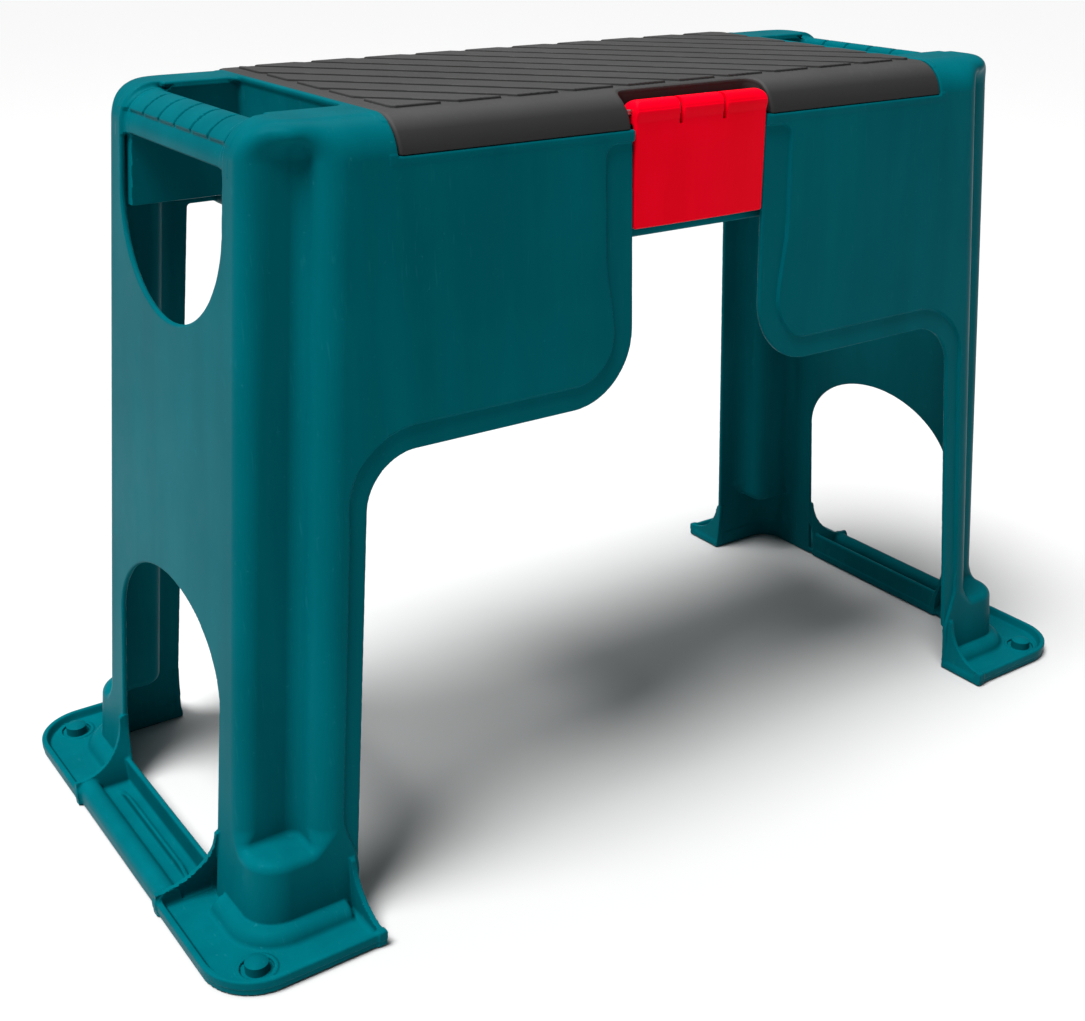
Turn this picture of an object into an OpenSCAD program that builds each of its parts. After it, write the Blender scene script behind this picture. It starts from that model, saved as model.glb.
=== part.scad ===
/* [Seat] */
// Height of the seat's top above the floor
seat_h = 400; // [390:5:410]
// Outer half length of the end walls at the floor
foot_x = 283; // [281:1:285]
// Outer half depth of the front and back walls at the floor
foot_y = 119; // [118:1:120]
// Outer half length of the end walls at the top
top_x = 244.6; // [243:0.2:246]
// Outer half depth of the walls at the top
top_y = 101; // [100.6:0.2:101.4]
// Wall thickness of the moulding
wall = 3; // [2.8:0.1:3.2]
// Radius of the rolled edge around the top
edge_r = 18; // [17:0.5:19]
// Radius of the top's four corners, seen from above
corner_r = 26; // [24:1:27]

/* [Leg openings] */
// Half distance between the legs' free edges at the floor
leg_edge_x = 226; // [225:0.5:228]
// Half distance between the back legs' free edges at the floor
back_edge_x = 229; // [228:0.5:231]
// Height of the front aprons' lower edge
apron_z = 245; // [235:1:255]
// Radius of the aprons' lower corners
apron_r = 38; // [34:1:40]
// Radius where an apron meets its leg
apron_cove_r = 26; // [22:1:28]
// Half width of the slot between the aprons
slot_x = 44; // [43.8:0.1:44.4]
// Depth of the recessed band along the front cut-out
band_step = 1.4; // [1:0.1:1.8]
// Width of the recessed band
band_w = 13; // [11:1:14]

/* [End openings] */
// Half width of the lower arch
arch_y = 67; // [64:1:69]
// Height where the lower arch starts to curve
arch_spring_z = 112; // [105:1:118]
// Height of the lower arch's crown
arch_z = 160; // [150:1:170]
// Half width of the upper hand opening
grip_y = 62; // [60:1:63]
// Height of the upper hand opening's lowest point
grip_z = 295; // [291:1:299]

/* [Corner niches] */
// Half length between the niches' inner sides at the floor
niche_x = 251; // [249:1:253]
// Half depth between the niches' inner sides at the floor
niche_y = 95; // [94:1:96]
// Radius of a niche's upright edge on the end wall
niche_end_r = 10; // [8:1:11]
// Radius of a niche's upright edge on the front or back wall
niche_front_r = 13; // [10:1:14]

/* [Storage box and hand wells] */
// Half length of the box over its end walls
box_x = 181; // [180.6:0.1:181.4]
// Height of the box's underside
box_z = 326; // [322:1:330]
// Half length of the top at the hand wells' outer side
well_x = 221; // [219:1:222]
// Half width of a hand well
well_y = 57.5; // [55:0.5:58]
// Height of the lower edge of a hand well's side linings
lining_z = 340; // [336:1:344]

/* [Lid and latch] */
// Half length of the lid
lid_x = 177; // [176.8:0.1:177.2]
// Radius of the lid's hinge barrel
barrel_r = 5.5; // [5.4:0.1:5.6]
// Radius of the two lid hinge pins
pin_r = 2; // [1.9:0.05:2.1]
// Running clearance around each pin, on the radius
pin_gap = 0.06; // [0.04:0.01:0.08]
// Half width of the latch
latch_x = 43.3; // [43:0.1:43.4]
// Height of the latch's lower edge
latch_z = 333; // [332:0.5:334]
// Radius of the latch's rolled top
latch_r = 6; // [5.8:0.1:6.1]
// Height of the tread's slats above the lid
tread_h = 1.4; // [1:0.1:1.6]

/* [Feet] */
// Half length over the foot flanges
flange_x = 313; // [311:1:315]
// Half depth over the foot flanges
flange_y = 148; // [146:1:150]
// Corner radius of the flanges
flange_r = 30; // [27:1:33]
// Height of the flanges' lip
lip_z = 9; // [8:0.5:10]
// Half length to the foot plugs
plug_x = 289; // [287:1:291]
// Half depth to the foot plugs
plug_y = 131; // [130:0.5:132]

/* [Hidden] */
eps = 0.01;
far = 500;
gap = 0.4;                                   // clearance around the lid's notch and lugs
drop_z = seat_h - edge_r;                    // height where the rolled edge starts
slope_x = (foot_x - top_x) / drop_z;         // draft of the end walls
slope_y = (foot_y - top_y) / drop_z;         // draft of the front and back walls
lip_y = top_y - edge_r;                      // centre line of the rolled edge
niche_z = [46, seat_h - 11];                 // corner niche: shelf and roof
niche_tilt = [1.9, -5.4, 0];                 // corner niche: lean of its two sides, degrees
back_z = box_z + 2;                          // lower edge of the back wall
side_y = 80;                                 // the cut-outs reach this far in from front and back
band_z = [25, seat_h - 22];                  // recessed band, lower and upper end
arch_foot_z = 14;                            // lower end of the lower arch
back_lean = 0.0955;                          // lean of the back legs' free edges
rim_rise = 10.4;                             // the box's front wall stands this far above the seam
side_gap = 0.5;                              // gap between the lid's ends and the box's end walls
seam_z = drop_z + 0.7;                       // top of the body's walls under the lid
rim_y = 92;                                  // front face of the box's front wall
hinge_y = 89;
hinge_z = seat_h - barrel_r;
strip_z = hinge_z - 6;                       // underside of the strip behind the lid
hinge_wall_y = hinge_y + barrel_r + 0.8;     // front face of the strip behind the lid
pin_len = 30;
notch_x = latch_x + 3.5;                     // half width of the lid's notch for the latch
notch_y = lip_y + 1;                         // depth line of the notch's back face
notch_back = 2.5;                            // thickness of the notch's back face
latch_y = top_y - latch_r;                   // latch axis
latch_axis_z = seat_h - 10;
latch_pin_r = 1.5;
lug_x = latch_x / 3;                         // the two lid lugs stand at the thirds
lug_w = 2;
lug_r = 4;
catch_z = 342.5;                             // underside of the body's catch for the latch
catch_x = 20;
catch_reach = 4;                             // how far the catch stands out of the box's front wall
hook_x = 18;
hook_gap = 1.6;                              // gap between the latch's hook and the box's front wall
bore_reach = 14;                             // half length of a pin's bore in the hinge barrel
rib_t = 2;                                   // thickness of the ribs under the lid
rib_z = seat_h - 9;                          // lower edge of the ribs
rib_pitch = 44;
cross_rib_y = [-40, 20];
tread_x = 169;
tread_y = 81;
slat_pitch = 33.3;
slat_w = 24.3;
slat_angle = 44;
bar_drop = 3;                                // the grip bar lies this far below the top
bar_z = seat_h - 23;                         // underside of the grip bar
well_z = drop_z - 30;                        // depth of the cut for a hand well
groove_pitch = 19.5;
groove_w = 1;
groove_depth = 0.8;
grip_spring_z = 350;                         // height where the hand opening starts to curve
plate_z = [1.5, 4.5];                        // foot plate, lower and upper face
foot_bar_x = 279;                            // inner face of the foot bar
foot_bar_z = 19;                             // top of its inner wall
foot_rib_x = [288, 291.5];                   // rib along the foot bar
foot_rib_z = 11;
tube_r = 6;                                  // rounded outer edge of the foot bar
tube_x = flange_x - tube_r - 1;
tube_z = 8;
skirt_y = 58;                                // where a foot flange ends on the end side
stem_r = 4;                                  // stem of a foot plug
dish_r = 8.5;                                // shallow dish around the plug's head
bead_r = 8;                                  // bead along the foot of the corner block
bead_from = [232, 77];                       // where the bead ends on the two sides
cove_rise = [35, 39];                        // height of the webs on the front and end sides
pad_r = 12;                                  // floor pad of a foot plug
$fn = 64;

module along_x(x0, x1) {
    translate([x0, 0, 0]) rotate([90, 0, 90]) linear_extrude(x1 - x0) children();
}

module along_y(y0, y1) {
    translate([0, y1, 0]) rotate([90, 0, 0]) linear_extrude(y1 - y0) children();
}

module both_x() {
    children();
    mirror([1, 0, 0]) children();
}

module quadrants() {
    both_x() {
        children();
        mirror([0, 1, 0]) children();
    }
}

// A box from its lowest to its highest corner.
module block(low, high) {
    translate(low) cube(high - low);
}

// A rectangle from its lowest to its highest corner.
module block2(low, high) {
    translate(low) square(high - low);
}

// The drafted outer form with its rolled top edge, shrunk by inset.
module tapered_form(inset, floor_z) {
    hull() for (sx = [-1, 1], sy = [-1, 1]) {
        translate([sx * (top_x - corner_r), sy * (top_y - corner_r), drop_z])
            rotate_extrude($fn = 32) translate([corner_r - edge_r, 0]) intersection() {
                circle(edge_r - inset, $fn = 32);
                translate([edge_r - corner_r, -edge_r]) square(2 * corner_r);
            }
        translate([sx * (foot_x - edge_r - slope_x * floor_z),
                   sy * (foot_y - edge_r - slope_y * floor_z), floor_z])
            cylinder(h = eps, r = edge_r - inset, $fn = 32);
    }
}

// The re-entrant corner above a foot, grown inwards by wall thickness w.
module niche(w) {
    intersection() {
        translate([niche_x - w, niche_y - w, 0]) rotate(niche_tilt) cube([90, 70, far]);
        block([0, 0, niche_z[0] - w], [far, far, w > 0 ? far : niche_z[1]]);
    }
}

// What a rounded upright edge leaves free; the radius is a touch oversize, so that it crosses both faces.
module edge_cutter(x, y, tilt, r, w) {
    translate([x, y, 0]) rotate(tilt) translate([-r, -r, 0]) linear_extrude(far) difference() {
        square(r + 1);
        circle(r - w + 0.05);
    }
}

// The rounding of a niche's two upright edges, for the outer skin or for a wall w inside it.
module niche_edges(w) {
    intersection() {
        union() {
            edge_cutter(niche_x, foot_y, [atan(slope_y), niche_tilt[1], 0], niche_front_r, w);
            edge_cutter(foot_x, niche_y, [niche_tilt[0], -atan(slope_x), 0], niche_end_r, w);
        }
        block([0, 0, niche_z[0] - w + eps], [far, far, w > 0 ? far : niche_z[1] - eps]);
    }
}

// Half of the front cut-out, from the slot to a leg's edge, grown by w.
module cutout_half(w) {
    leg_low = leg_edge_x + w;
    leg_high = leg_low - slope_x * apron_z;
    cove_r = apron_cove_r;
    difference() {
        polygon([[0, -1], [leg_low, -1], [leg_high, apron_z + w], [0, apron_z + w]]);
        translate([leg_high - cove_r, apron_z + w - cove_r]) difference() {
            square(2 * cove_r);
            circle(cove_r);
        }
    }
    square([slot_x + w, seat_h]);
    // the circle is a touch oversize, so that it crosses both edges instead of only touching them
    translate([slot_x + w - eps, apron_z + w - eps]) difference() {
        square(apron_r - w + eps);
        translate([1, 1] * (apron_r - w + eps)) circle(apron_r - w + 0.05);
    }
}

// The front cut-out with its recessed band on the drafted front face.
module front_cutout() {
    along_y(-foot_y - 20, -rim_y) both_x() intersection() {
        cutout_half(0);
        square([far, seam_z + eps]);
    }
    intersection() {
        along_y(-foot_y - 20, -side_y) both_x() intersection() {
            cutout_half(band_w);
            block2([0, band_z[0]], [far, band_z[1]]);
        }
        translate([-far, -foot_y + band_step - 40, 0])
            rotate([-atan(slope_y), 0, 0]) cube([2 * far, 40, far]);
    }
}

module back_cutout() {
    low = back_edge_x;
    top = back_edge_x - back_lean * back_z;
    along_y(side_y, foot_y + 20) polygon([[-low, -1], [low, -1], [top, back_z], [-top, back_z]]);
}

// A half ellipse of points, closed by the corners it stands on.
function arch(a, b, z0, z1) = concat(
    [[a, z1], [-a, z1]], [for (t = [180:-7.5:0]) [a * cos(t), z0 + b * sin(t)]]);

module end_cutouts() {
    both_x() along_x(well_x, foot_x + 20) {
        polygon(arch(arch_y, arch_z - arch_spring_z, arch_spring_z, arch_foot_z));
        polygon(arch(grip_y, grip_z - grip_spring_z, grip_spring_z, bar_z));
    }
}

// Storage box walls, left standing inside the hollow body.
module box_walls() {
    difference() {
        block([-box_x, -rim_y, box_z], [box_x, far, seat_h]);
        block([-box_x + wall + side_gap, -rim_y + wall, box_z + wall], [box_x - wall - side_gap, far, far]);
    }
    block([-box_x, -far, seam_z - wall], [box_x, -rim_y + eps, seam_z]);
    block([-box_x, hinge_wall_y, strip_z], [box_x, far, seat_h]);
}

// Lining beside a hand well, from the box to the end wall's inner face.
module well_lining() {
    inner_x = foot_x - wall - 0.5;
    along_y(well_y, well_y + wall) polygon([
        [box_x - 1, lining_z], [inner_x - slope_x * lining_z, lining_z],
        [inner_x - slope_x * (bar_z + 1), bar_z + 1], [well_x + 1, bar_z + 1],
        [well_x + 1, seat_h - 1], [box_x - 1, seat_h - 1]]);
}

// The space that the closed lid takes out of the body.
module lid_seat() {
    side = box_x - wall - side_gap;
    notch_side = notch_x + wall + gap;
    difference() {
        block([-side, -far, seam_z], [side, hinge_wall_y, far]);
        both_x() block([notch_side, -rim_y, seam_z - eps], [side + eps, -rim_y + wall, seam_z + rim_rise]);
    }
}

// Channel-shaped grip bar at one end, its outer edge rolled like the body's.
module grip_bar() {
    cx = top_x - edge_r;
    cz = drop_z - bar_drop;
    module section(inset) {
        intersection() {
            translate([cx, cz]) circle(edge_r - inset);
            translate([cx - eps, bar_z - 1]) square(far);
        }
        translate([well_x + inset, bar_z]) square([cx - well_x - inset, cz + edge_r - inset - bar_z]);
    }
    difference() {
        along_y(-grip_y - 1, grip_y + 1) intersection() {
            section(0);
            translate([0, bar_z]) square(far);
        }
        along_y(-well_y, well_y) translate([0, -1]) section(wall);
        for (i = [-3:3])
            along_y(i * groove_pitch - groove_w / 2, i * groove_pitch + groove_w / 2)
                difference() {
                    translate([cx, cz]) square(2 * edge_r);
                    translate([cx, cz]) circle(edge_r - groove_depth);
                }
    }
}

// Outline of a foot flange in one quadrant, shrunk by inset.
module flange_plan(inset) {
    x0 = leg_edge_x + inset;
    y0 = skirt_y + inset;
    x1 = flange_x - inset;
    y1 = flange_y - inset;
    r = flange_r - inset;
    difference() {
        union() {
            translate([x0, y0]) square([x1 - r - x0, y1 - y0]);
            translate([x0, y0]) square([x1 - x0, y1 - r - y0]);
            translate([x1 - r, y1 - r]) circle(r);
        }
        square([foot_x - wall, foot_y - wall]);
    }
}

// A bead along the foot of the corner block.
module plinth() {
    bend = edge_r - 2;
    translate([foot_x - bend, foot_y - bend, plate_z[1]]) {
        rotate_extrude(angle = 90) translate([bend, 0]) circle(bead_r);
        rotate([90, 0, 0]) translate([bend, 0, 0])
            cylinder(h = foot_y - bend - bead_from[1], r = bead_r);
        rotate([0, -90, 0]) translate([0, bend, 0])
            cylinder(h = foot_x - bend - bead_from[0], r = bead_r);
    }
}

// A thin web that coves down from a wall's edge to the flange's lip.
module cove(reach, rise) {
    difference() {
        square([reach, rise]);
        translate([reach, rise]) circle(min(reach, rise - lip_z));
    }
}

module foot() {
    difference() {
        union() {
            translate([0, 0, plate_z[0]]) linear_extrude(plate_z[1] - plate_z[0]) flange_plan(0);
            translate([0, 0, 1]) linear_extrude(lip_z - 1) difference() {
                flange_plan(0);
                translate([-eps, -eps]) flange_plan(wall);
                block2([0, 0], [foot_x + 8, foot_y + 8]);
            }
            intersection() {
                plinth();
                block([leg_edge_x, skirt_y, plate_z[0]], [far, far, far]);
            }
            along_x(leg_edge_x, leg_edge_x + wall) translate([foot_y - 2, plate_z[0]])
                cove(flange_y - foot_y + 2, cove_rise[0]);
            along_y(skirt_y, skirt_y + wall) translate([foot_x - 3, plate_z[0]])
                cove(flange_x - foot_x + 3, cove_rise[1]);
        }
        block([0, 0, -1], [foot_x - slope_x * 40 - wall, foot_y - slope_y * 40 - wall, 60]);
        translate([plug_x, plug_y, 0]) cylinder(h = 20, r = stem_r);
        translate([plug_x, plug_y, plate_z[1] - 1]) cylinder(h = 2, r = dish_r);
    }
}

// Hand support between the two feet of one end.
module foot_bar() {
    x0 = foot_bar_x;
    along_y(-skirt_y - 1, skirt_y + 1) {
        block2([x0, plate_z[0]], [tube_x + 1, plate_z[1]]);
        block2([x0, plate_z[0]], [x0 + wall, foot_bar_z]);
        block2([foot_rib_x[0], plate_z[0]], [foot_rib_x[1], foot_rib_z]);
        translate([tube_x, tube_z]) circle(tube_r);
    }
}

module hinge_bore(x0, x1, r) {
    translate([x0, hinge_y, hinge_z]) rotate([0, 90, 0]) cylinder(h = x1 - x0, r = r);
}

// One moulding: four legs, aprons, storage box, hand wells, grip bars and feet.
module body() color("#006a74") {
    difference() {
        tapered_form(0, 0);
        quadrants() niche(0);
        quadrants() niche_edges(0);
        difference() {
            tapered_form(wall, -1);
            quadrants() niche(wall);
            quadrants() niche_edges(wall);
            box_walls();
        }
        lid_seat();
        front_cutout();
        back_cutout();
        end_cutouts();
        both_x() block([box_x, -well_y, well_z], [well_x, well_y, far]);
        both_x() block([well_x - eps, -grip_y, bar_z - eps], [far, grip_y, far]);
        both_x() block([foot_bar_x - 20, -skirt_y, -1], [far, skirt_y, foot_bar_z + 1]);
        both_x() hinge_bore(box_x - 6, box_x + 1, pin_r);
    }
    both_x() grip_bar();
    both_x() foot_bar();
    quadrants() well_lining();
    quadrants() foot();
    // catch ledge for the latch's hook
    block([-catch_x, -rim_y - catch_reach, catch_z], [catch_x, -rim_y + eps, catch_z + wall]);
}

// Lid section across the seat: plate, rolled front lip and hinge barrel.
module lid_section() {
    difference() {
        union() {
            intersection() {
                translate([-lip_y, drop_z]) circle(edge_r);
                block2([-far, drop_z + 1], [-lip_y + eps, far]);
            }
            block2([-lip_y, drop_z + 1], [hinge_y, seat_h]);
        }
        intersection() {
            translate([-lip_y, drop_z]) circle(edge_r - wall);
            block2([-far, 0], [-lip_y + eps, far]);
        }
        block2([-lip_y, 0], [hinge_y, seat_h - wall]);
    }
    translate([hinge_y, hinge_z]) circle(barrel_r);
}

// Raised diagonal slats, clipped to the tread's field.
module tread() {
    intersection() {
        block([-tread_x, -tread_y, seat_h - 1], [tread_x, tread_y, seat_h + tread_h]);
        for (i = [-7:7])
            translate([i * slat_pitch, 0, seat_h - 1]) rotate(slat_angle)
                translate([-slat_w / 2 * cos(slat_angle), -far / 2, 0])
                    cube([slat_w * cos(slat_angle), far, tread_h + 1]);
    }
    block([-tread_x, -tread_y, seat_h - 1], [tread_x, tread_y, seat_h + 0.3]);
}

module latch_bore(x0, x1, r) {
    translate([x0, -latch_y, latch_axis_z]) rotate([0, 90, 0]) cylinder(h = x1 - x0, r = r);
}

module lid() color("#4a4a4c") {
    difference() {
        union() {
            along_x(-lid_x, lid_x) lid_section();
            tread();
            for (x = [-1, 1] * (lid_x - wall / 2))
                block([x - wall / 2, -lip_y - 2, rib_z], [x + wall / 2, hinge_y - 10, seat_h - 1]);
            for (i = [-2.5:2.5])
                block([i * rib_pitch - rib_t / 2, -notch_y + 10, rib_z],
                      [i * rib_pitch + rib_t / 2, hinge_y - 12, seat_h - 1]);
            for (y = cross_rib_y)
                block([-lid_x + 1, y - rib_t / 2, rib_z], [lid_x - 1, y + rib_t / 2, seat_h - 1]);
        }
        block([-notch_x, -far, 0], [notch_x, -notch_y, far]);
        for (side = [-1, 1])
            hinge_bore(side * (lid_x - bore_reach + 1) - bore_reach,
                       side * (lid_x - bore_reach + 1) + bore_reach, pin_r + pin_gap);
    }
    // back face of the notch, its two cheeks and the lugs that carry the latch pin
    difference() {
        union() {
            block([-notch_x - wall, -notch_y, drop_z + 1],
                  [notch_x + wall, -notch_y + notch_back, seat_h - 1]);
            for (x = [-1, 1] * (notch_x + wall / 2))
                along_x(x - wall / 2, x + wall / 2) intersection() {
                    translate([-lip_y, drop_z]) circle(edge_r - 1);
                    block2([-far, drop_z + 1], [-notch_y + 1, far]);
                }
            for (x = [-1, 1] * lug_x) {
                latch_lug(x);
            }
        }
        latch_bore(-notch_x - 2, notch_x + 2, latch_pin_r);
    }
}

// A lug that reaches forward from the notch's back face to the latch pin.
module latch_lug(x) {
    along_x(x - lug_w / 2, x + lug_w / 2) {
        translate([-latch_y, latch_axis_z]) circle(lug_r);
        block2([-latch_y, latch_axis_z - lug_r], [-notch_y + 1, latch_axis_z + lug_r]);
    }
}

// Hanging latch: rolled top with two gaps, drafted plate and a hook at its foot.
module latch() color("#e0001c") {
    top_z = latch_axis_z;
    difference() {
        union() {
            latch_bore(-latch_x, latch_x, latch_r);
            along_x(-latch_x, latch_x) polygon([
                [-top_y, top_z], [-top_y - 1.2, latch_z], [-top_y + 2, latch_z], [-top_y + 3.2, top_z]]);
            block([-hook_x, -top_y + 1, catch_z - wall - 1], [hook_x, -rim_y - hook_gap, catch_z - 1]);
        }
        for (x = [-1, 1] * lug_x)
            block([x - lug_w / 2 - gap, -top_y - 2, top_z - latch_r - 1],
                  [x + lug_w / 2 + gap, -lip_y, far]);
        latch_bore(-latch_x - 1, latch_x + 1, latch_pin_r + pin_gap);
    }
}

// Lid hinge pin, pressed through the box's end wall from the hand well.
module hinge_pin(side) color("silver") {
    x0 = side > 0 ? box_x + 1 - pin_len : -box_x - 1;
    hinge_bore(x0, x0 + pin_len, pin_r);
}

module latch_pin() color("silver") {
    latch_bore(-notch_x - 2, notch_x + 2, latch_pin_r);
}

// Push-in foot: round pad on the floor, stem through the plate, domed head above.
module foot_plug(side, front) color("#20262a") {
    head_r = 6;
    head_z = [plate_z[1] - 1, plate_z[1] + 4];
    dome_r = 11;
    translate([side * plug_x, front * plug_y, 0]) rotate_extrude() {
        square([pad_r, plate_z[0]]);
        square([stem_r, head_z[0] + 1]);
        translate([0, head_z[0]]) square([head_r, head_z[1] - head_z[0]]);
        intersection() {
            translate([0, head_z[1] - sqrt(dome_r * dome_r - head_r * head_r)]) circle(dome_r);
            translate([0, head_z[1] - eps]) square([head_r, dome_r]);
        }
    }
}

body();
lid();
latch();
hinge_pin(-1);  // hinge_pin_left
hinge_pin(1);  // hinge_pin_right
latch_pin();
foot_plug(-1, -1);  // foot_plug_front_left
foot_plug(1, -1);  // foot_plug_front_right
foot_plug(-1, 1);  // foot_plug_back_left
foot_plug(1, 1);  // foot_plug_back_right
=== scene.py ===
"""Garden kneeler seat.

The moulded pieces are grown from distance fields: each field says how far a point lies from the
piece's surface, in millimetres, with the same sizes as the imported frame. A surface net turns a
field into a mesh, which is thinned where it is flat and gets its shading from the field itself.
"""
import math

import bpy
import numpy as np
from mathutils import Matrix, Vector


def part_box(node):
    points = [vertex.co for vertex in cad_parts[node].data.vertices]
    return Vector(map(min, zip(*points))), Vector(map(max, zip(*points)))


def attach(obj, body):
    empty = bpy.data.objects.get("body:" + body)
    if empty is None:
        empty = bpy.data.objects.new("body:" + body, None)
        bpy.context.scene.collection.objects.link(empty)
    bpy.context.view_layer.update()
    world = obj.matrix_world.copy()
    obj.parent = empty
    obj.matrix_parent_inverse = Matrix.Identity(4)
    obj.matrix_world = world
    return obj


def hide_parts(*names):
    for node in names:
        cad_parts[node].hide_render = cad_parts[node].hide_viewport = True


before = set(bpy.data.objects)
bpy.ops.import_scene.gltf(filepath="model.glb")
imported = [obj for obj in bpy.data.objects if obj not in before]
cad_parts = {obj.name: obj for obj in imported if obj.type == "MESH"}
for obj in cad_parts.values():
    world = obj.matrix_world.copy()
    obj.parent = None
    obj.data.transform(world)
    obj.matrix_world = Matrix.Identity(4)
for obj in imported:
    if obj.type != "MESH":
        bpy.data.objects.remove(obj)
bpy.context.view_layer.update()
MM = 0.001

# ---------------------------------------------------------------- sizes, in millimetres
# outer form
FLANGE_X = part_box("body")[1][0] / MM
FLANGE_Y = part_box("body")[1][1] / MM
SEAT_H = 400.0
WALL = 3.0
EDGE_R = 18.0
CORNER_R = 26.0
DROP_Z = SEAT_H - EDGE_R
FOOT_X, FOOT_Y = 283.0, 119.0
TOP_X, TOP_Y = 244.6, 101.0
SLOPE_X = (FOOT_X - TOP_X) / DROP_Z
SLOPE_Y = (FOOT_Y - TOP_Y) / DROP_Z
COS_X = math.cos(math.atan(SLOPE_X))
COS_Y = math.cos(math.atan(SLOPE_Y))
LIP_Y = TOP_Y - EDGE_R

# the niche in each corner, and its lean per millimetre of height
NICHE_X, NICHE_Y = 251.0, 95.0
NICHE_LEAN_X, NICHE_LEAN_Y = 0.0945, 0.0325
NICHE_FLOOR_Z, NICHE_ROOF_Z = 46.0, SEAT_H - 11

# front cut-out and its recessed band
LEG_EDGE_X = 226.0
APRON_Z, APRON_R, APRON_COVE_R = 245.0, 38.0, 26.0
SLOT_X = 44.0
BAND_STEP, BAND_R = 1.9, 8.0
BAND_TOP_Z = SEAT_H - 23

# back cut-out
BACK_EDGE_X, BACK_LEAN = 229.0, 0.0955
BACK_Y = 80.0

# openings in the end walls
ARCH_Y, ARCH_RISE, ARCH_SPRING_Z = 67.0, 48.0, 112.0
GRIP_Y, GRIP_RISE, GRIP_SPRING_Z = 62.0, 55.0, 350.0

# storage box, hand wells and grip bars
BOX_X, BOX_Z, RIM_Y = 181.0, 326.0, 92.0
BOX_INSET = WALL + 0.5
SEAM_Z = DROP_Z + 0.7
RIM_RISE = 10.4
WELL_X, WELL_Y, WELL_Z = 221.0, 57.5, DROP_Z - 30
LINING_Z = 340.0
BAR_DROP = 3.0
BAR_LOW_Z = SEAT_H - 23
GROOVE_PITCH, GROOVE_DEPTH = 19.5, 1.5

# lid, hinge and latch
LID_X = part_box("lid")[1][0] / MM
LATCH_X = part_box("latch")[1][0] / MM
LATCH_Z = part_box("latch")[0][2] / MM
HINGE_Y, HINGE_Z, BARREL_R = 89.0, 394.5, 5.5
HINGE_BORE_R, HINGE_BORE_LENGTH = 2.06, 27.0
STRIP_Y = HINGE_Y + BARREL_R + 0.8
RIB_LOW_Z = SEAT_H - 9
RIB_PITCH, RIB_LAST_X, LONG_RIB_Y = 44.0, 110.0, (-40.0, 20.0)
TREAD_X, TREAD_Y, TREAD_H = 169.0, 82.5, 1.6
TREAD_MIDDLE_Y = 1.5
SLAT_PITCH, SLAT_W, SLAT_LEAN = 33.3, 24.3, math.radians(44)
LATCH_Y, LATCH_AXIS_Z, LATCH_R = 95.0, 390.0, 6.0
LATCH_PIN_R, LATCH_PIN_GAP = 1.5, 0.06
LATCH_T = 3.2
NOTCH_X, NOTCH_Y = LATCH_X + 3.5, LIP_Y + 1
LUG_X, LUG_R = LATCH_X / 3, 4.0
HOOK_X, HOOK_Z = 18.0, (338.5, 341.5)
CATCH_X, CATCH_REACH, CATCH_Z = 20.0, 4.0, (342.5, 345.5)

# feet and the bars between them
FLANGE_R = 30.0
PLATE_LOW_Z, PLATE_TOP_Z = 1.5, 4.5
LIP_RISE = 4.6
SKIRT_Y = 58.0
BEAD_R, BEAD_FROM_X, BEAD_FROM_Y = 8.0, 232.0, 77.0
FRONT_WEB_Z, END_WEB_Z = 36.0, 40.0
PLUG_X = (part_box("foot_plug_front_right")[0][0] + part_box("foot_plug_front_right")[1][0]) / 2 / MM
PLUG_Y = (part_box("foot_plug_back_right")[0][1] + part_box("foot_plug_back_right")[1][1]) / 2 / MM
DISH_R, RING_R, STEM_BORE_R = 8.5, 9.5, 4.05
FOOT_BAR_X, FOOT_BAR_Z = 279.0, 19.0
RIDGE_X, RIDGE_Z = (288.8, 291.2), 10.0
BAR_RIM_X, BAR_RIM_R = 305.5, 6.2


# ---------------------------------------------------------------- distance field tools
def rounded_max(a, b, r):
    """What two forms share, with their common edge rounded to radius r."""
    return (np.minimum(np.maximum(a, b) + r, 0)
            + np.hypot(np.maximum(a + r, 0), np.maximum(b + r, 0)) - r)


def rounded_min(a, b, r):
    """Two forms joined, with a fillet of radius r between them."""
    return -rounded_max(-a, -b, r)


def cut(a, b, r):
    """Form a without form b, the new edge rounded to radius r."""
    return rounded_max(a, -b, r)


def most(*parts):
    """What all the forms share, with sharp edges."""
    result = parts[0]
    for part in parts[1:]:
        result = np.maximum(result, part)
    return result


def span(v, low, high):
    """Distance to the band of values from low to high."""
    return np.maximum(low - v, v - high)


def ramp(v, low, high):
    """Smooth step from 0 at low to 1 at high."""
    t = np.clip((v - low) / (high - low), 0, 1)
    return t * t * (3 - 2 * t)


def half_oval(v, z, half_width, rise, base, sign):
    """A straight slot of half_width, closed by half an oval that starts at height base."""
    over = (z - base) * sign
    oval = (np.hypot(v / half_width, np.maximum(over, 0) / rise) - 1) * min(half_width, rise)
    return np.where(over > 0, oval, np.abs(v) - half_width)


# ---------------------------------------------------------------- the teal moulding
def outer_planes(x, y, z):
    """Distances to the leaning end walls, and to the leaning front and back walls."""
    end = (np.abs(x) - FOOT_X + SLOPE_X * z) * COS_X
    side = (np.abs(y) - FOOT_Y + SLOPE_Y * z) * COS_Y
    return end, side


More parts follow.
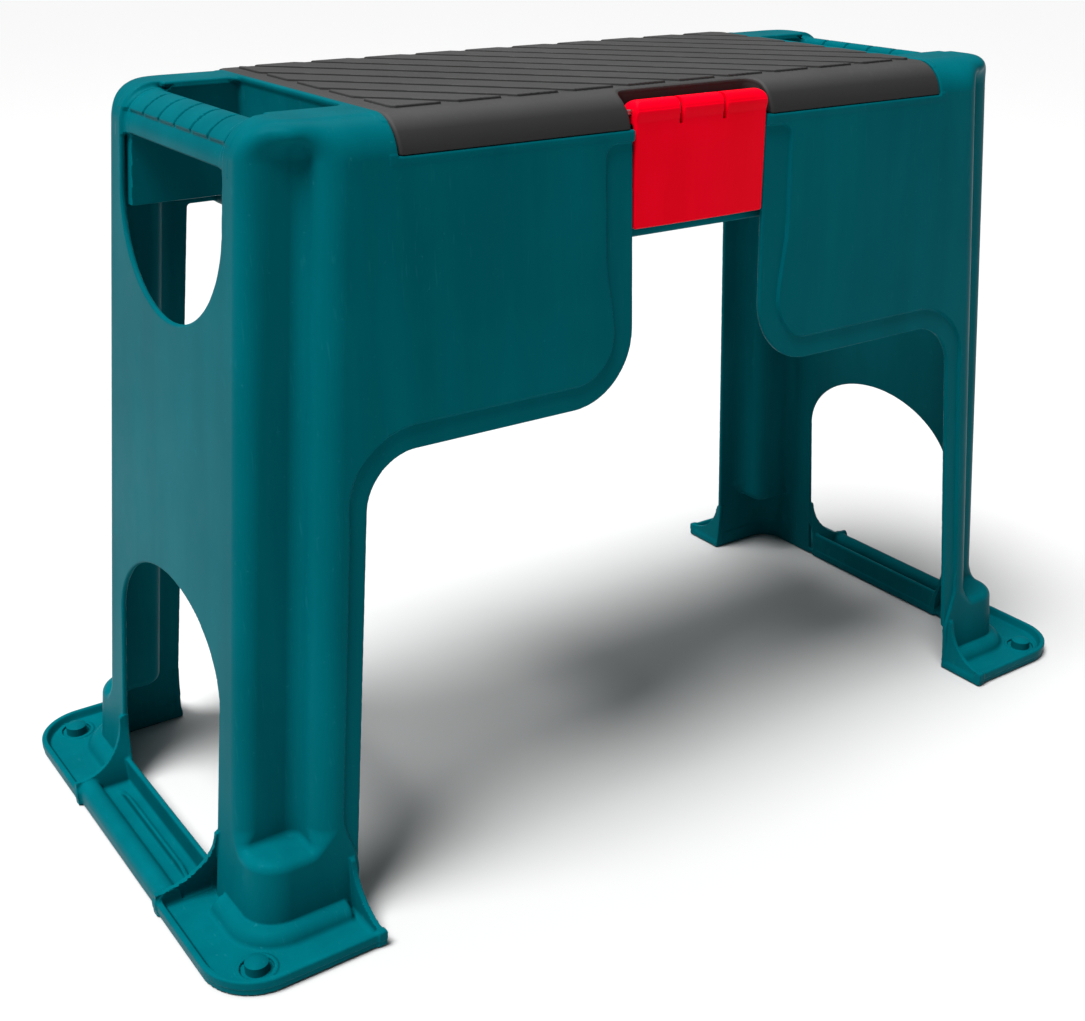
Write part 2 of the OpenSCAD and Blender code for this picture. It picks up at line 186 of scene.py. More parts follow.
def skin_field(ax, ay, z, end, side):
    """The drafted outer form with its rolled top and the niche in each corner."""
    plan = rounded_max(end, side, EDGE_R + (CORNER_R - EDGE_R) * np.clip(z / DROP_Z, 0, 1))
    form = rounded_max(plan, z - SEAT_H, EDGE_R)
    niche = rounded_max(NICHE_X - NICHE_LEAN_X * z - ax, NICHE_Y - NICHE_LEAN_Y * z - ay, 7)
    niche = rounded_max(niche, NICHE_FLOOR_Z - z, 3)
    niche = rounded_max(niche, z - NICHE_ROOF_Z, 7)
    upright_r = 10 + 3 * ramp(ay - NICHE_Y + NICHE_X - ax, -8, 12)
    upright_r = 5 + (upright_r - 5) * ramp(z, NICHE_FLOOR_Z - 2, NICHE_FLOOR_Z + 10)
    return plan, cut(form, niche, upright_r)


def window_field(ax, z):
    """The front cut-out: between the legs, below the aprons, and up the slot."""
    leg = (ax - LEG_EDGE_X + SLOPE_X * z) * COS_X
    under = rounded_max(leg, z - APRON_Z, APRON_COVE_R)
    return rounded_min(under, ax - SLOT_X, APRON_R)


def band_field(window, z):
    """The recessed band along the front cut-out; it runs out at the floor and widens up the slot."""
    width = (10 + 3 * ramp(z, 210, 245) + 5 * ramp(z, 280, 325)) * ramp(z, 26, 62)
    return rounded_max(window - width, z - BAND_TOP_Z, BAND_R)


def back_window_field(ax, y, z):
    """The back is open between the legs, up to just above the box's underside."""
    leg = ax - BACK_EDGE_X + BACK_LEAN * z
    return np.maximum(rounded_max(leg, z - BOX_Z - 2, 2), BACK_Y - y)


def box_field(ax, y, z, skin):
    """Walls of the storage box, which hang inside the skin."""
    outer = rounded_max(rounded_max(ax - BOX_X, BOX_Z - z, 3), -RIM_Y - y, 3)
    inner = rounded_max(ax - BOX_X + BOX_INSET, BOX_Z + WALL - z, 3)
    inner = rounded_max(inner, -RIM_Y + WALL - y, 3)
    shelf = most(ax - BOX_X, span(z, SEAM_Z - WALL, SEAM_Z), y + RIM_Y - 1)
    strip = most(ax - BOX_X, STRIP_Y - y, HINGE_Z - 6 - z)
    walls = np.minimum(np.minimum(np.maximum(outer, -inner), shelf), strip)
    return most(walls, skin + 0.5)


def lining_field(ax, ay, z, end, skin):
    """Panel beside a hand well, from the box to the end wall, where it flares to meet it."""
    outer_y = WELL_Y + WALL + 5 * ramp(end, -WALL - 5, -WALL - 0.5)
    under_top = skin + 2.6 + 1.6 * ramp(ax, WELL_X - 5, WELL_X)
    return most(span(ay, WELL_Y, outer_y), BOX_X - 1 - ax, end + WALL - 0.3, LINING_Z - z, under_top)


def grip_bar_field(y, z, ax, ay, end):
    """Channel-shaped bar with fine grooves across its rolled outer edge."""
    along = np.abs(y / GROOVE_PITCH - np.round(y / GROOVE_PITCH)) * GROOVE_PITCH
    groove = ramp(along, 1.5, 0.3) * ramp(z, SEAT_H - 13, SEAT_H - 11.5) * (ay < GRIP_Y)
    step = 2.0 * ramp(z, SEAT_H - 10.8, SEAT_H - 13.5)
    plain = rounded_max(rounded_max(end, z - SEAT_H + BAR_DROP, EDGE_R), WELL_X - ax, 5)
    section = plain + GROOVE_DEPTH * groove + step
    return most(section, -(plain + WALL + 0.5), BAR_LOW_Z - z, ay - (GRIP_Y + 4))


def foot_field(ax, ay, z, plan, end, side):
    """Flange with its lip, the bead around the corner block, and the two coved webs."""
    flange = rounded_max(ax - FLANGE_X, ay - FLANGE_Y, FLANGE_R) + 0.6 * ramp(z, 4.6, 3.8)
    skirt_y = SKIRT_Y + 9 * ramp(z, 4, 44)
    limits = most(flange, skirt_y - ay, LEG_EDGE_X - ax)
    top = PLATE_TOP_Z + LIP_RISE * ramp(flange, -5.2, -2.6)
    under = PLATE_LOW_Z - 0.7 * ramp(flange, -5, -3.4)
    plate = rounded_max(rounded_max(limits, z - top, 1.2), under - z, 0.5)
    bead = np.hypot(plan, z - PLATE_TOP_Z) - BEAD_R
    bead = rounded_max(rounded_max(bead, BEAD_FROM_Y - ay, 2.5), BEAD_FROM_X - ax, 2.5)
    foot = rounded_min(plate, bead, 2.2)
    cove_front = 27 - np.hypot(np.minimum(side - 29, 0), np.minimum(z - FRONT_WEB_Z, 0))
    web_front = most(span(ax, LEG_EDGE_X, LEG_EDGE_X + WALL),
                     rounded_max(cove_front, z - FRONT_WEB_Z, 2), flange)
    cove_end = 26 - np.hypot(np.minimum(end - 28, 0), np.minimum(z - END_WEB_Z, 0))
    web_end = most(span(ay, skirt_y, skirt_y + WALL), rounded_max(cove_end, z - (END_WEB_Z + 4), 2), flange)
    foot = rounded_min(foot, web_front, 3)
    foot = rounded_min(foot, web_end, 3)
    return np.maximum(foot, -(plan + WALL))


def foot_bar_field(ax, ay, z):
    """Open tray between the feet: inner wall, middle ridge and rolled outer rim."""
    base = most(span(ax, FOOT_BAR_X, 309), span(z, PLATE_LOW_Z, 5))
    inner = rounded_max(span(ax, FOOT_BAR_X, FOOT_BAR_X + WALL), span(z, PLATE_LOW_Z, FOOT_BAR_Z), 1.1)
    ridge = rounded_max(span(ax, *RIDGE_X), span(z, 2, RIDGE_Z - 6 * ramp(ay, 36, 56)), 1.1)
    rim = np.hypot(ax - BAR_RIM_X, np.maximum(z - 7.5, 0) + np.minimum(z - 4, 0)) - BAR_RIM_R
    bar = rounded_min(rounded_min(rounded_min(base, inner, 2), ridge, 1.5), rim, 1.5)
    return np.maximum(np.maximum(bar, ay - (SKIRT_Y + 4)), 1 - z)


def add_plug_seats(body, ax, ay, z):
    """A raised ring, a shallow dish and a bore around each foot plug."""
    plug = np.hypot(ax - PLUG_X, ay - PLUG_Y)
    ring = rounded_max(np.abs(plug - RING_R) - 1.1, z - 5.3, 0.6)
    body = rounded_min(body, np.maximum(ring, 3 - z), 0.8)
    body = cut(body, most(plug - DISH_R, 3.5 - z, z - 12), 0.4)
    return cut(body, plug - STEM_BORE_R, 0.3)


def body_field(x, y, z):
    """The whole teal moulding."""
    ax, ay = np.abs(x), np.abs(y)
    end, side = outer_planes(x, y, z)

    # the front's recessed band is a jog in the wall, so the wall keeps its thickness
    window = window_field(ax, z)
    side = side + BAND_STEP * ramp(band_field(window, z), 0.5, -0.8) * (y < 0)
    plan, skin = skin_field(ax, ay, z, end, side)
    body = np.maximum(skin, -(skin + WALL))

    # the box comes after the back cut-out, so that its floor stays whole
    body = cut(body, back_window_field(ax, y, z), 1.1)
    body = rounded_min(body, box_field(ax, y, z, skin), 1.5)

    # the lid's seat, with the box's front wall left standing in it
    body = cut(body, most(ax - BOX_X + BOX_INSET, SEAM_Z - z, y - HINGE_Y - BARREL_R - 0.8), 1)
    rim = most(span(ax, NOTCH_X + 3.4, BOX_X - 3), span(y, -RIM_Y, -RIM_Y + WALL),
               span(z, SEAM_Z - 8, SEAM_Z + RIM_RISE))
    body = np.minimum(body, rim)
    body = cut(body, most(window, y + RIM_Y + 0.1, z - SEAM_Z), 1.1)

    # end openings, hand wells and grip bars
    arch = half_oval(y, z, ARCH_Y, ARCH_RISE, ARCH_SPRING_Z, 1)
    body = cut(body, np.maximum(arch, 200 - ax), 1.3)
    grip = half_oval(y, z, GRIP_Y, GRIP_RISE, GRIP_SPRING_Z, -1)
    body = cut(body, np.maximum(grip, WELL_X + 1 - ax), 1.3)
    well = rounded_max(ay - WELL_Y, span(ax, BOX_X + 0.2, WELL_X + 6), 6)
    body = cut(body, np.maximum(well, WELL_Z - z), 1.6)
    body = rounded_min(body, lining_field(ax, ay, z, end, skin), 1)
    body = rounded_min(body, grip_bar_field(y, z, ax, ay, end), 3)

    # feet, then everything is trimmed just above the floor
    body = rounded_min(body, foot_field(ax, ay, z, plan, end, side), 1.2)
    body = rounded_min(body, foot_bar_field(ax, ay, z), 1.5)
    body = add_plug_seats(body, ax, ay, z)
    catch = most(ax - CATCH_X, span(y, -RIM_Y - CATCH_REACH, -RIM_Y + 0.5), span(z, *CATCH_Z))
    return np.maximum(np.minimum(body, catch), 0.8 - z)


# ---------------------------------------------------------------- the grey lid
def tread_field(x, y, z):
    """Leaning slats on a thin raised field, whose edge steps back at each valley."""
    across = (x + y * math.tan(SLAT_LEAN)) / SLAT_PITCH
    off = np.abs(across - np.round(across)) * SLAT_PITCH
    slat = rounded_max((off - SLAT_W / 2) * math.cos(SLAT_LEAN), z - SEAT_H - TREAD_H, 0.5)
    edge = np.maximum(np.abs(x) - TREAD_X, np.abs(y - TREAD_MIDDLE_Y) - TREAD_Y)
    slat = rounded_max(slat, edge, 0.45)
    valley = rounded_max(edge + 3.2, z - SEAT_H - 0.3, 0.3)
    return np.maximum(np.minimum(slat, valley), SEAT_H - 2 - z)


def rib_field(x, y, z):
    """The grid of ribs under the lid."""
    ax = np.abs(x)
    pitches = np.clip(x, -RIB_LAST_X, RIB_LAST_X) / RIB_PITCH
    nearest = np.abs((pitches + 0.5) % 1 - 0.5) * RIB_PITCH
    ribs = np.maximum(nearest - 1, ax - RIB_LAST_X - 23)
    long_ribs = np.minimum(np.abs(y - LONG_RIB_Y[0]), np.abs(y - LONG_RIB_Y[1])) - 1
    return most(np.minimum(ribs, long_ribs), RIB_LOW_Z - z, z - SEAT_H + 1, y - HINGE_Y + 12,
                -NOTCH_Y + 10 - y, ax - LID_X + 1)


def lug_field(ax, y, z):
    """The two lugs that carry the latch pin."""
    tip = np.hypot(y + LATCH_Y, z - LATCH_AXIS_Z) - LUG_R
    arm = most(span(y, -LATCH_Y, -NOTCH_Y + 1), span(z, LATCH_AXIS_Z - LUG_R, LATCH_AXIS_Z + LUG_R))
    return np.maximum(np.minimum(tip, arm), np.abs(ax - LUG_X) - 0.8)


def lid_field(x, y, z):
    """Plate with a rolled front lip, end skirts, ribs, hinge barrel, tread and the latch's notch."""
    ax = np.abs(x)
    front = (-y - FOOT_Y + SLOPE_Y * z) * COS_Y
    rolled = rounded_max(front, z - SEAT_H, EDGE_R)
    form = rounded_max(rolled, ax - LID_X, 2)
    lid = most(form, -(rolled + WALL), y - HINGE_Y)
    skirt = most(span(ax, LID_X - WALL, LID_X), RIB_LOW_Z - z, y - HINGE_Y + 10, -LIP_Y - 2 - y)
    lid = np.minimum(lid, np.maximum(skirt, form))
    lid = rounded_min(lid, rib_field(x, y, z), 0.8)
    hinge = np.hypot(y - HINGE_Y, z - HINGE_Z)
    lid = rounded_min(lid, np.maximum(hinge - BARREL_R, ax - LID_X), 1)
    lid = rounded_min(lid, tread_field(x, y, z), 0.25)

    # notch for the latch, with its wall and lugs
    notch = rounded_max(ax - NOTCH_X, y + NOTCH_Y, 8)
    lid = cut(lid, notch, 1.6)
    wall = most(notch - WALL, -notch, DROP_Z + 1.2 - z, form + 0.8)
    lid = rounded_min(lid, wall, 0.6)
    lid = np.minimum(lid, lug_field(ax, y, z))

    # bores for the hinge pins and the latch pin
    lid = np.maximum(lid, -np.maximum(hinge - HINGE_BORE_R, LID_X - HINGE_BORE_LENGTH - ax))
    latch_bore = np.hypot(y + LATCH_Y, z - LATCH_AXIS_Z) - LATCH_PIN_R
    lid = np.maximum(lid, -np.maximum(latch_bore, ax - NOTCH_X - 2))
    return np.maximum(lid, DROP_Z + 1 - z)


# ---------------------------------------------------------------- the red latch
def latch_field(x, y, z):
    """Slightly bowed plate under a rolled top, with gaps for the lid's lugs and a hook behind."""
    ax = np.abs(x)
    bow = 0.7 * (1 - (x / LATCH_X) ** 2) * ramp(z, LATCH_AXIS_Z, LATCH_AXIS_Z - 20)
    face = -TOP_Y - 0.02 * (LATCH_AXIS_Z - z) - bow + 0.7
    plate = rounded_max(face - y, y - face - LATCH_T, 1.1)
    plate = most(plate, z - LATCH_AXIS_Z)
    from_axis = np.hypot(y + LATCH_Y, z - LATCH_AXIS_Z)
    latch = rounded_min(plate, from_axis - LATCH_R, 1.5)
    outline = rounded_max(ax - LATCH_X, z - LATCH_AXIS_Z - LATCH_R, 5)
    outline = rounded_max(outline, LATCH_Z - z, 1.5)
    latch = rounded_max(latch, outline, 1)
    hook = most(ax - HOOK_X, span(y, -100, -RIM_Y - 1.6), span(z, *HOOK_Z))
    latch = rounded_min(latch, hook, 0.6)
    gaps = np.maximum(np.abs(ax - LUG_X) - 1.2, LATCH_AXIS_Z - LATCH_R - 1 - z)
    latch = cut(latch, gaps, 0.3)
    return np.maximum(latch, -(from_axis - (LATCH_PIN_R + LATCH_PIN_GAP)))


# ---------------------------------------------------------------- from a field to a mesh
BLOCK = 8


def sample(field, low, high, step):
    """A grid of the field's values, worked out only in the blocks near its surface."""
    counts = [int(math.ceil((high[a] - low[a]) / (BLOCK * step))) for a in range(3)]
    middles = [low[a] + (np.arange(counts[a]) + 0.5) * BLOCK * step for a in range(3)]
    shaped = [middles[0][:, None, None], middles[1][None, :, None], middles[2][None, None, :]]
    coarse = np.broadcast_to(field(*shaped), counts)
    volume = np.where(coarse > 0, 1, -1).astype(np.float32)
    for axis in range(3):
        volume = np.repeat(volume, BLOCK, axis)
    volume = np.pad(volume, ((0, 1),) * 3, mode="edge")
    near = np.argwhere(np.abs(coarse) < BLOCK * step * 0.95 + 2)
    offsets = np.arange(BLOCK + 1)
    for part in np.array_split(near, max(1, len(near) // 600)):
        index = [part[:, a, None] * BLOCK + offsets for a in range(3)]
        grid = [index[0][:, :, None, None], index[1][:, None, :, None], index[2][:, None, None, :]]
        points = [(low[a] + grid[a] * step).astype(np.float32) for a in range(3)]
        values = np.broadcast_to(field(*points), (len(part),) + (BLOCK + 1,) * 3)
        volume[grid[0], grid[1], grid[2]] = values
    return volume


def surface_net(volume, low, step):
    """One vertex in each cell that the surface crosses, and a quad across each crossed edge."""
    inside = volume < 0
    size = inside.shape
    corners = [(i, j, k) for i in (0, 1) for j in (0, 1) for k in (0, 1)]
    count = np.zeros([n - 1 for n in size], np.uint8)
    for i, j, k in corners:
        count += inside[i:size[0] - 1 + i, j:size[1] - 1 + j, k:size[2] - 1 + k]
    mixed = (count > 0) & (count < 8)
    cells = np.argwhere(mixed)
    ids = np.full(mixed.shape, -1, np.int32)
    ids[mixed] = np.arange(len(cells))
    total = np.zeros((len(cells), 3))
    hits = np.zeros(len(cells))
    for a in corners:
        for axis in range(3):
            if a[axis]:
                continue
            b = list(a)
            b[axis] = 1
            va = volume[tuple((cells + a).T)]
            vb = volume[tuple((cells + b).T)]
            crossed = (va < 0) != (vb < 0)
            share = np.where(crossed, va / np.where(crossed, va - vb, 1), 0)
            point = np.tile(np.array(a, float), (len(cells), 1))
            point[:, axis] += share
            total[crossed] += point[crossed]
            hits += crossed
    points = np.array(low) + step * (cells + total / hits[:, None])
    quads = []
    for axis in range(3):
        u, v = (axis + 1) % 3, (axis + 2) % 3
        start, stop = [slice(None)] * 3, [slice(None)] * 3
        start[axis], stop[axis] = slice(0, -1), slice(1, None)
        for other in (u, v):
            start[other] = stop[other] = slice(1, -1)
        leaving = inside[tuple(start)] & ~inside[tuple(stop)]
        entering = ~inside[tuple(start)] & inside[tuple(stop)]
        for change, order in ((leaving, 1), (entering, -1)):
            p = np.argwhere(change)
            p[:, u] += 1
            p[:, v] += 1
            around = []
            for du, dv in ((-1, -1), (0, -1), (0, 0), (-1, 0))[::order]:
                q = p.copy()
                q[:, u] += du
                q[:, v] += dv
                around.append(ids[tuple(q.T)])
            quads.append(np.stack(around, 1))
    return points, np.concatenate(quads)


def gradient(field, p, h):
    """The field's slope at each point, over a reach of h."""
    parts = []
    for axis in range(3):
        ahead, behind = p.copy(), p.copy()
        ahead[:, axis] += h
        behind[:, axis] -= h
        parts.append((field(*ahead.T) - field(*behind.T)) / (2 * h))
    return np.stack(parts, 1)


def new_mesh(name, points, faces):
    """A mesh in metres from points in millimetres and faces of equal size."""
    mesh = bpy.data.meshes.new(name)
    sides = faces.shape[1]
    mesh.vertices.add(len(points))
    mesh.vertices.foreach_set("co", (points * MM).astype(np.float32).ravel())
    mesh.loops.add(faces.size)
    mesh.loops.foreach_set("vertex_index", faces.astype(np.int32).ravel())
    mesh.polygons.add(len(faces))
    mesh.polygons.foreach_set("loop_start", np.arange(len(faces), dtype=np.int32) * sides)
    mesh.update(calc_edges=True)
    mesh.validate()
    return mesh


def add_object(name, mesh):
    obj = bpy.data.objects.new(name, mesh)
    bpy.context.scene.collection.objects.link(obj)
    return obj


def thin(obj, ratio):
    """Fewer triangles where the surface is flat."""
    modifier = obj.modifiers.new("thin", "DECIMATE")
    modifier.ratio = ratio
    modifier.use_collapse_triangulate = True
    graph = bpy.context.evaluated_depsgraph_get()
    lean = bpy.data.meshes.new_from_object(obj.evaluated_get(graph))
    obj.modifiers.clear()
    old, obj.data = obj.data, lean
    bpy.data.meshes.remove(old)


def shade_from_field(mesh, field, reach):
    """Corner normals read from the field a little inside each face, so that flats stay flat."""
    mesh.polygons.foreach_set("use_smooth", np.ones(len(mesh.polygons), bool))
    co = np.empty(len(mesh.vertices) * 3)
    mesh.vertices.foreach_get("co", co)
    co = co.reshape(-1, 3) / MM
    loops = np.empty(len(mesh.loops), np.int32)
    mesh.loops.foreach_get("vertex_index", loops)
    corner = co[loops].reshape(-1, 3, 3)
    middle = corner.mean(1, keepdims=True)
    inward = middle - corner
    length = np.linalg.norm(inward, axis=2, keepdims=True)
    where = corner + inward * np.minimum(1, reach / np.maximum(length, 1e-6)) * 0.9
    normal = gradient(field, where.reshape(-1, 3), 0.15)
    normal /= np.maximum(np.linalg.norm(normal, axis=1, keepdims=True), 1e-9)
    flat = np.cross(corner[:, 1] - corner[:, 0], corner[:, 2] - corner[:, 0])
    area = np.linalg.norm(flat, axis=1)
    longest = np.linalg.norm(corner - np.roll(corner, 1, 1), axis=2).max(1)
    sound = np.repeat(area > 0.04 * longest ** 2, 3)
    flat = np.repeat(flat / np.maximum(area, 1e-12)[:, None], 3, axis=0)
    stray = sound & ((normal * flat).sum(1) < 0.6)
    normal[stray] = flat[stray]
    mesh.normals_split_custom_set(normal.tolist())


def mirrored(points, quads, step):
    """The whole piece from its half at +X; the vertices nearest to the middle are shared."""
    middle = np.abs(points[:, 0]) < step / 2 - 1e-4
    points[middle, 0] = 0
    twin = np.where(middle, np.arange(len(points)), len(points) - 1 + np.cumsum(~middle))
    points = np.concatenate([points, points[~middle] * (-1, 1, 1)])
    return points, np.concatenate([quads, twin[quads][:, ::-1]])


def grow(name, field, low, high, step, triangles, reach, halves=True):
    """A shaded piece from its field; with halves, only x > 0 is worked out and then mirrored."""
    if halves:
        low = (-step / 2, low[1], low[2])
    volume = sample(field, low, high, step)
    points, quads = surface_net(volume, low, step)
    first = points[:, 0] < step / 2 - 1e-4
    for _ in range(2):
        slope = gradient(field, points, 0.1)
        steep = np.maximum((slope ** 2).sum(1), 0.25)
        move = np.clip(field(*points.T), -0.4 * step, 0.4 * step) / steep
        points -= slope * move[:, None]
    if halves:
        points[first, 0] = 0
        points[~first, 0] = np.maximum(points[~first, 0], step / 2)
        points, quads = mirrored(points, quads, step)
    faces = np.concatenate([quads[:, [0, 1, 2]], quads[:, [0, 2, 3]]])
    obj = add_object(name, new_mesh(name, points, faces))
    if len(faces) > triangles:
        thin(obj, triangles / len(faces))
    shade_from_field(obj.data, field, reach)
    return obj


# ---------------------------------------------------------------- camera, light and floor
# places and sizes here are in metres
CAMERA_PLACE = (-0.5051, -0.6776, 0.5030)
CAMERA_LENS, SENSOR_WIDTH = 48.91, 36
FLOOR_HALF_SIDE = 20.0
FLOOR_GREY = (0.55, 0.55, 0.55, 1)
WHITE = (1, 1, 1, 1)


def add_camera():
    """The view from the front left, a little above the seat."""
    azimuth, down, roll = math.radians(35.2), math.radians(23.79), math.radians(0.43)
    level = math.cos(down)
    ahead = Vector((math.sin(azimuth) * level, math.cos(azimuth) * level, -math.sin(down)))
    right = ahead.cross(Vector((0, 0, 1))).normalized()
    up = right.cross(ahead)
    across = right * math.cos(roll) + up * math.sin(roll)
    above = up * math.cos(roll) - right * math.sin(roll)
    data = bpy.data.cameras.new("camera")
    data.lens = CAMERA_LENS
    data.sensor_width = SENSOR_WIDTH
    data.clip_end = 100
    camera = bpy.data.objects.new("camera", data)
    turn = Matrix((across, above, -ahead)).transposed().to_4x4()
    camera.matrix_world = Matrix.Translation(CAMERA_PLACE) @ turn
    bpy.context.scene.collection.objects.link(camera)
    bpy.context.scene.camera = camera


def add_light(name, kind, place, target, energy, size):
    """An area light takes its two sides as size, the sun its angle."""
    data = bpy.data.lights.new(name, kind)
    data.energy = energy
    if kind == "AREA":
        data.shape = "RECTANGLE"
        data.size, data.size_y = size
    else:
        data.angle = size
    light = bpy.data.objects.new(name, data)
    light.location = place
    light.rotation_euler = (Vector(target) - Vector(place)).to_track_quat("-Z", "Y").to_euler()
    bpy.context.scene.collection.objects.link(light)


def add_floor():
    corners = FLOOR_HALF_SIDE / MM * np.array([[-1, -1, 0], [1, -1, 0], [1, 1, 0], [-1, 1, 0]])
    floor = add_object("floor", new_mesh("floor", corners, np.array([[0, 1, 2, 3]])))
    pale = bpy.data.materials.new("floor")
    pale.use_nodes = True
    shader = pale.node_tree.nodes["Principled BSDF"]
    shader.inputs["Base Color"].default_value = FLOOR_GREY
    shader.inputs["Roughness"].default_value = 0.9
    shader.inputs["Specular IOR Level"].default_value = 0.0
    floor.data.materials.append(pale)


def add_studio():
    """A white world, a soft sun from the left as key, a softbox overhead, and the floor."""
    scene = bpy.context.scene
    scene.view_settings.view_transform = "Standard"
    scene.view_settings.look = "None"
    world = bpy.data.worlds.new("studio")
    world.use_nodes = True
    world.node_tree.nodes["Background"].inputs["Color"].default_value = WHITE
    world.node_tree.nodes["Background"].inputs["Strength"].default_value = 0.12
    scene.world = world
    add_light("key", "SUN", (-1.0, -0.1, 2.6), (0, 0, 0.2), 5.4, math.radians(30))
    add_light("overhead_softbox", "AREA", (0, 0.6, 2.4), (0, 0, 0.3), 24, (2.2, 1.6))
    add_floor()


# ---------------------------------------------------------------- materials
class Nodes:
    """A short way to add and join shader nodes in one material."""

    def __init__(self, name):
        self.material = bpy.data.materials.new(name)
        self.material.use_nodes = True
        self.tree = self.material.node_tree
        self.shader = self.tree.nodes["Principled BSDF"]
        self.place = self.add("ShaderNodeTexCoord").outputs["Object"]

    def add(self, kind, **settings):
        node = self.tree.nodes.new(kind)
        for key, value in settings.items():
            setattr(node, key, value)
        return node

    def join(self, source, target):
        self.tree.links.new(source, target)

    def noise(self, scale, detail=4.0, rough=0.5, stretch=None):
        place = self.place
        if stretch:
            mapping = self.add("ShaderNodeMapping")
            mapping.inputs["Scale"].default_value = stretch
            self.join(place, mapping.inputs["Vector"])
            place = mapping.outputs["Vector"]
        node = self.add("ShaderNodeTexNoise")
        node.inputs["Scale"].default_value = scale
        node.inputs["Detail"].default_value = detail
        node.inputs["Roughness"].default_value = rough
        self.join(place, node.inputs["Vector"])
        return node.outputs["Fac"]

    def spread(self, value, low, high, start=0.0, stop=1.0):
        node = self.add("ShaderNodeMapRange")
        node.inputs["From Min"].default_value = start
        node.inputs["From Max"].default_value = stop
        node.inputs["To Min"].default_value = low
        node.inputs["To Max"].default_value = high
        self.join(value, node.inputs["Value"])
        return node.outputs["Result"]

    def maths(self, operation, a, b):
        node = self.add("ShaderNodeMath", operation=operation)
        for socket, value in zip(node.inputs, (a, b)):
            if isinstance(value, (int, float)):
                socket.default_value = value
            else:
                self.join(value, socket)
        return node.outputs[0]

    def blend(self, amount, a, b):
        node = self.add("ShaderNodeMix", data_type="RGBA")
        self.join(amount, node.inputs["Factor"])
        for socket, value in ((node.inputs[6], a), (node.inputs[7], b)):
            if isinstance(value, tuple):
                socket.default_value = (*value, 1)
            else:
                self.join(value, socket)
        return node.outputs[2]

    def bump(self, height, strength, distance):
        node = self.add("ShaderNodeBump")
        node.inputs["Strength"].default_value = strength
        node.inputs["Distance"].default_value = distance
        self.join(height, node.inputs["Height"])
        self.join(node.outputs["Normal"], self.shader.inputs["Normal"])


def moulded_plastic(name, dark, light, rough, specular, grain, dust, streaks, painted_shade_below=None):
    """Moulded polypropylene: flow streaks, a fine skin texture, scuffs and a little dust, with an optional
    painted shade below a given height.

    dark and light are the ends of the colour's variation, grain is the skin's scale and streaks is
    the stretch of the flow. With the last argument, a height in metres, what lies below it gets a painted
    shade darker than dark, standing in for shade on faces turned from the light; above it the colour is
    full.
    """
    nodes = Nodes(name)
    flow = nodes.noise(9, 5, 0.55, stretch=streaks)
    cloud = nodes.noise(14, 3, 0.5)
    mixed = nodes.maths("ADD", nodes.maths("MULTIPLY", flow, 0.6), nodes.maths("MULTIPLY", cloud, 0.4))
    colour = nodes.blend(nodes.spread(mixed, 0, 1, 0.33, 0.67), dark, light)
    scratch = nodes.noise(60, 2, 0.4, stretch=(14, 3, 1.2))
    scratch = nodes.spread(scratch, 0, 1, 0.66, 0.74)
    specks = nodes.spread(nodes.noise(420, 2, 0.5), 0, 1, 0.70, 0.78)
    wear = nodes.maths("MAXIMUM", nodes.maths("MULTIPLY", scratch, 0.5), specks)
    dusty = tuple(min(1, 1.6 * c + 0.02) for c in light)
    colour = nodes.blend(nodes.maths("MULTIPLY", wear, dust), colour, dusty)
    # painted shade: below the given height the colour drops to 0.62 of dark, in place of the shade on a
    # forward-facing roll
    if painted_shade_below:
        place = nodes.add("ShaderNodeSeparateXYZ")
        nodes.join(nodes.place, place.inputs[0])
        above_painted_shade = nodes.spread(place.outputs["Z"], 0, 1, painted_shade_below - 0.006, painted_shade_below)
        colour = nodes.blend(above_painted_shade, tuple(0.62 * c for c in dark), colour)
    nodes.join(colour, nodes.shader.inputs["Base Color"])
    haze = nodes.spread(nodes.noise(22, 6, 0.6), rough - 0.06, rough + 0.07, 0.3, 0.7)
    dulled = nodes.maths("ADD", haze, nodes.maths("MULTIPLY", wear, 0.12))
    nodes.join(dulled, nodes.shader.inputs["Roughness"])
    nodes.shader.inputs["Specular IOR Level"].default_value = specular
    nodes.shader.inputs["Specular Tint"].default_value = (*(c / max(light) for c in light), 1)
    skin = nodes.noise(grain, 3, 0.6)
    waves = nodes.noise(38, 2, 0.5)
    height = nodes.maths("ADD", nodes.maths("MULTIPLY", skin, 0.25), waves)
    nodes.bump(height, 0.35, 0.00025)
    return nodes.material


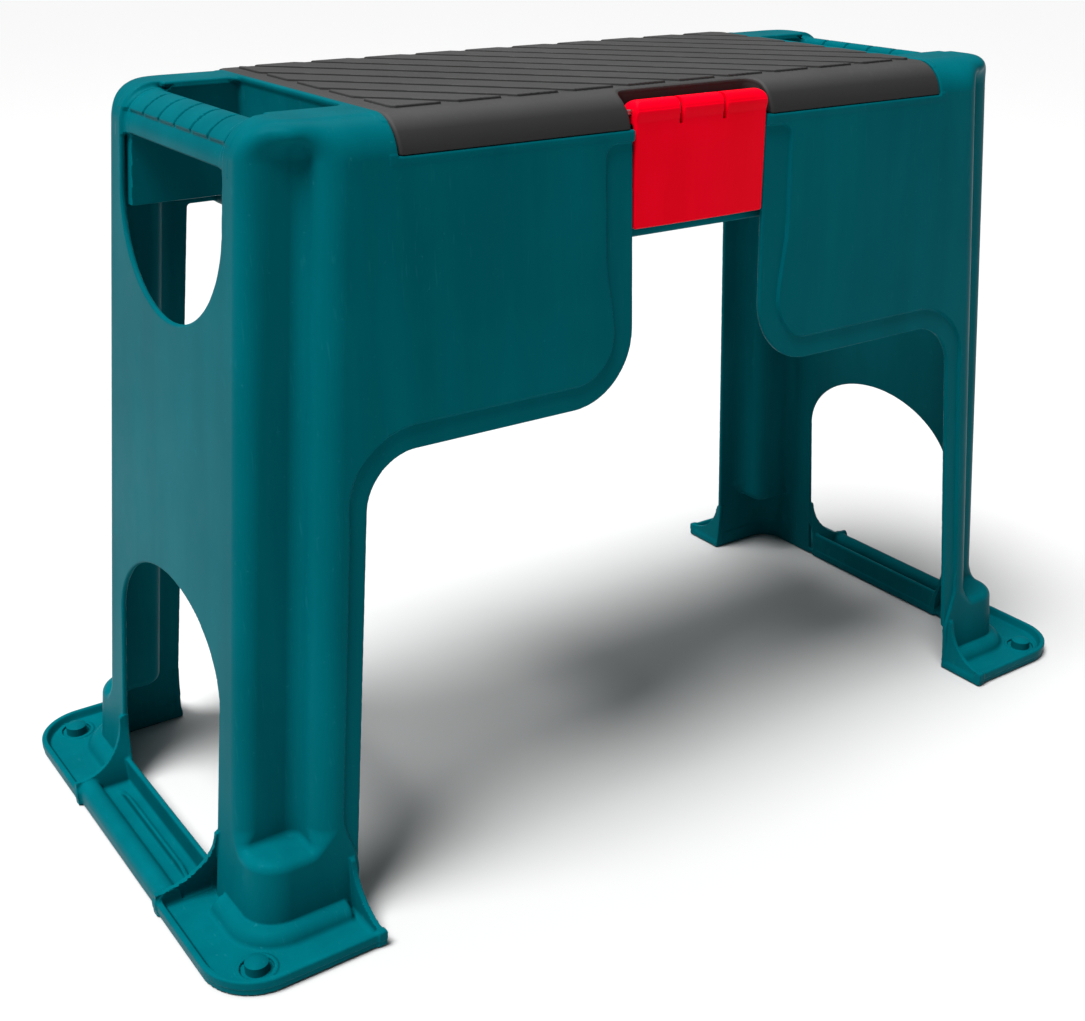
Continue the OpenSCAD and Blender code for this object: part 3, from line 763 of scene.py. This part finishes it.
def drawn_steel():
    """Pin steel with fine drawing lines along the pin."""
    nodes = Nodes("drawn_steel")
    nodes.shader.inputs["Metallic"].default_value = 1
    lines = nodes.noise(300, 3, 0.5, stretch=(0.05, 1, 1))
    colour = nodes.blend(lines, (0.30, 0.30, 0.31), (0.46, 0.46, 0.47))
    nodes.join(colour, nodes.shader.inputs["Base Color"])
    nodes.join(nodes.spread(lines, 0.22, 0.42), nodes.shader.inputs["Roughness"])
    return nodes.material


DARK_TEAL, LIGHT_TEAL = (0.0, 0.086, 0.106), (0.0, 0.110, 0.134)
TEAL = moulded_plastic("teal_polypropylene", DARK_TEAL, LIGHT_TEAL, rough=0.34, specular=0.02,
                       grain=900, dust=0.25, streaks=(5, 5, 0.35))
# the lid's front roll, below 398.5 mm, gets a painted shade; the top above it keeps the full grey
GREY = moulded_plastic("grey_polypropylene", (0.040, 0.040, 0.040), (0.052, 0.052, 0.052), rough=0.56,
                       specular=0.10, grain=1500, dust=0.35, streaks=(1, 1, 1), painted_shade_below=0.3985)
RED = moulded_plastic("red_polypropylene", (0.84, 0.0, 0.010), (0.94, 0.0, 0.016), rough=0.40,
                      specular=0.06, grain=900, dust=0.08, streaks=(4, 4, 0.5))
RUBBER = moulded_plastic("teal_foot", DARK_TEAL, LIGHT_TEAL, rough=0.45, specular=0.04,
                         grain=1200, dust=0.3, streaks=(1, 1, 1))
STEEL = drawn_steel()


def give(obj, material):
    obj.data.materials.clear()
    obj.data.materials.append(material)


# ---------------------------------------------------------------- the pieces
add_camera()
add_studio()

COARSE = 1.0
body = grow("body_shell", body_field, (-FLANGE_X - 3, -FLANGE_Y - 3, -1),
            (FLANGE_X + 3, FLANGE_Y + 3, SEAT_H + 3), 1.1 * COARSE, 190000, 0.5)
give(body, TEAL)
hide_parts("body")
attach(body, "seat")

lid = grow("lid_shell", lid_field, (-LID_X - 2, -104, SEAM_Z - 2), (LID_X + 2, 97, SEAT_H + 4),
           0.62 * COARSE, 190000, 0.3, halves=False)
give(lid, GREY)
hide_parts("lid")
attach(lid, "lid")

latch = grow("latch_shell", latch_field, (-LATCH_X - 2, -106, LATCH_Z - 2), (LATCH_X + 2, -86, SEAT_H),
             0.5 * COARSE, 60000, 0.3)
give(latch, RED)
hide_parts("latch")
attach(latch, "latch")

for node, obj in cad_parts.items():
    if node.startswith("foot_plug"):
        give(obj, RUBBER)
    if node.endswith("pin") or node.startswith("hinge_pin"):
        give(obj, STEEL)
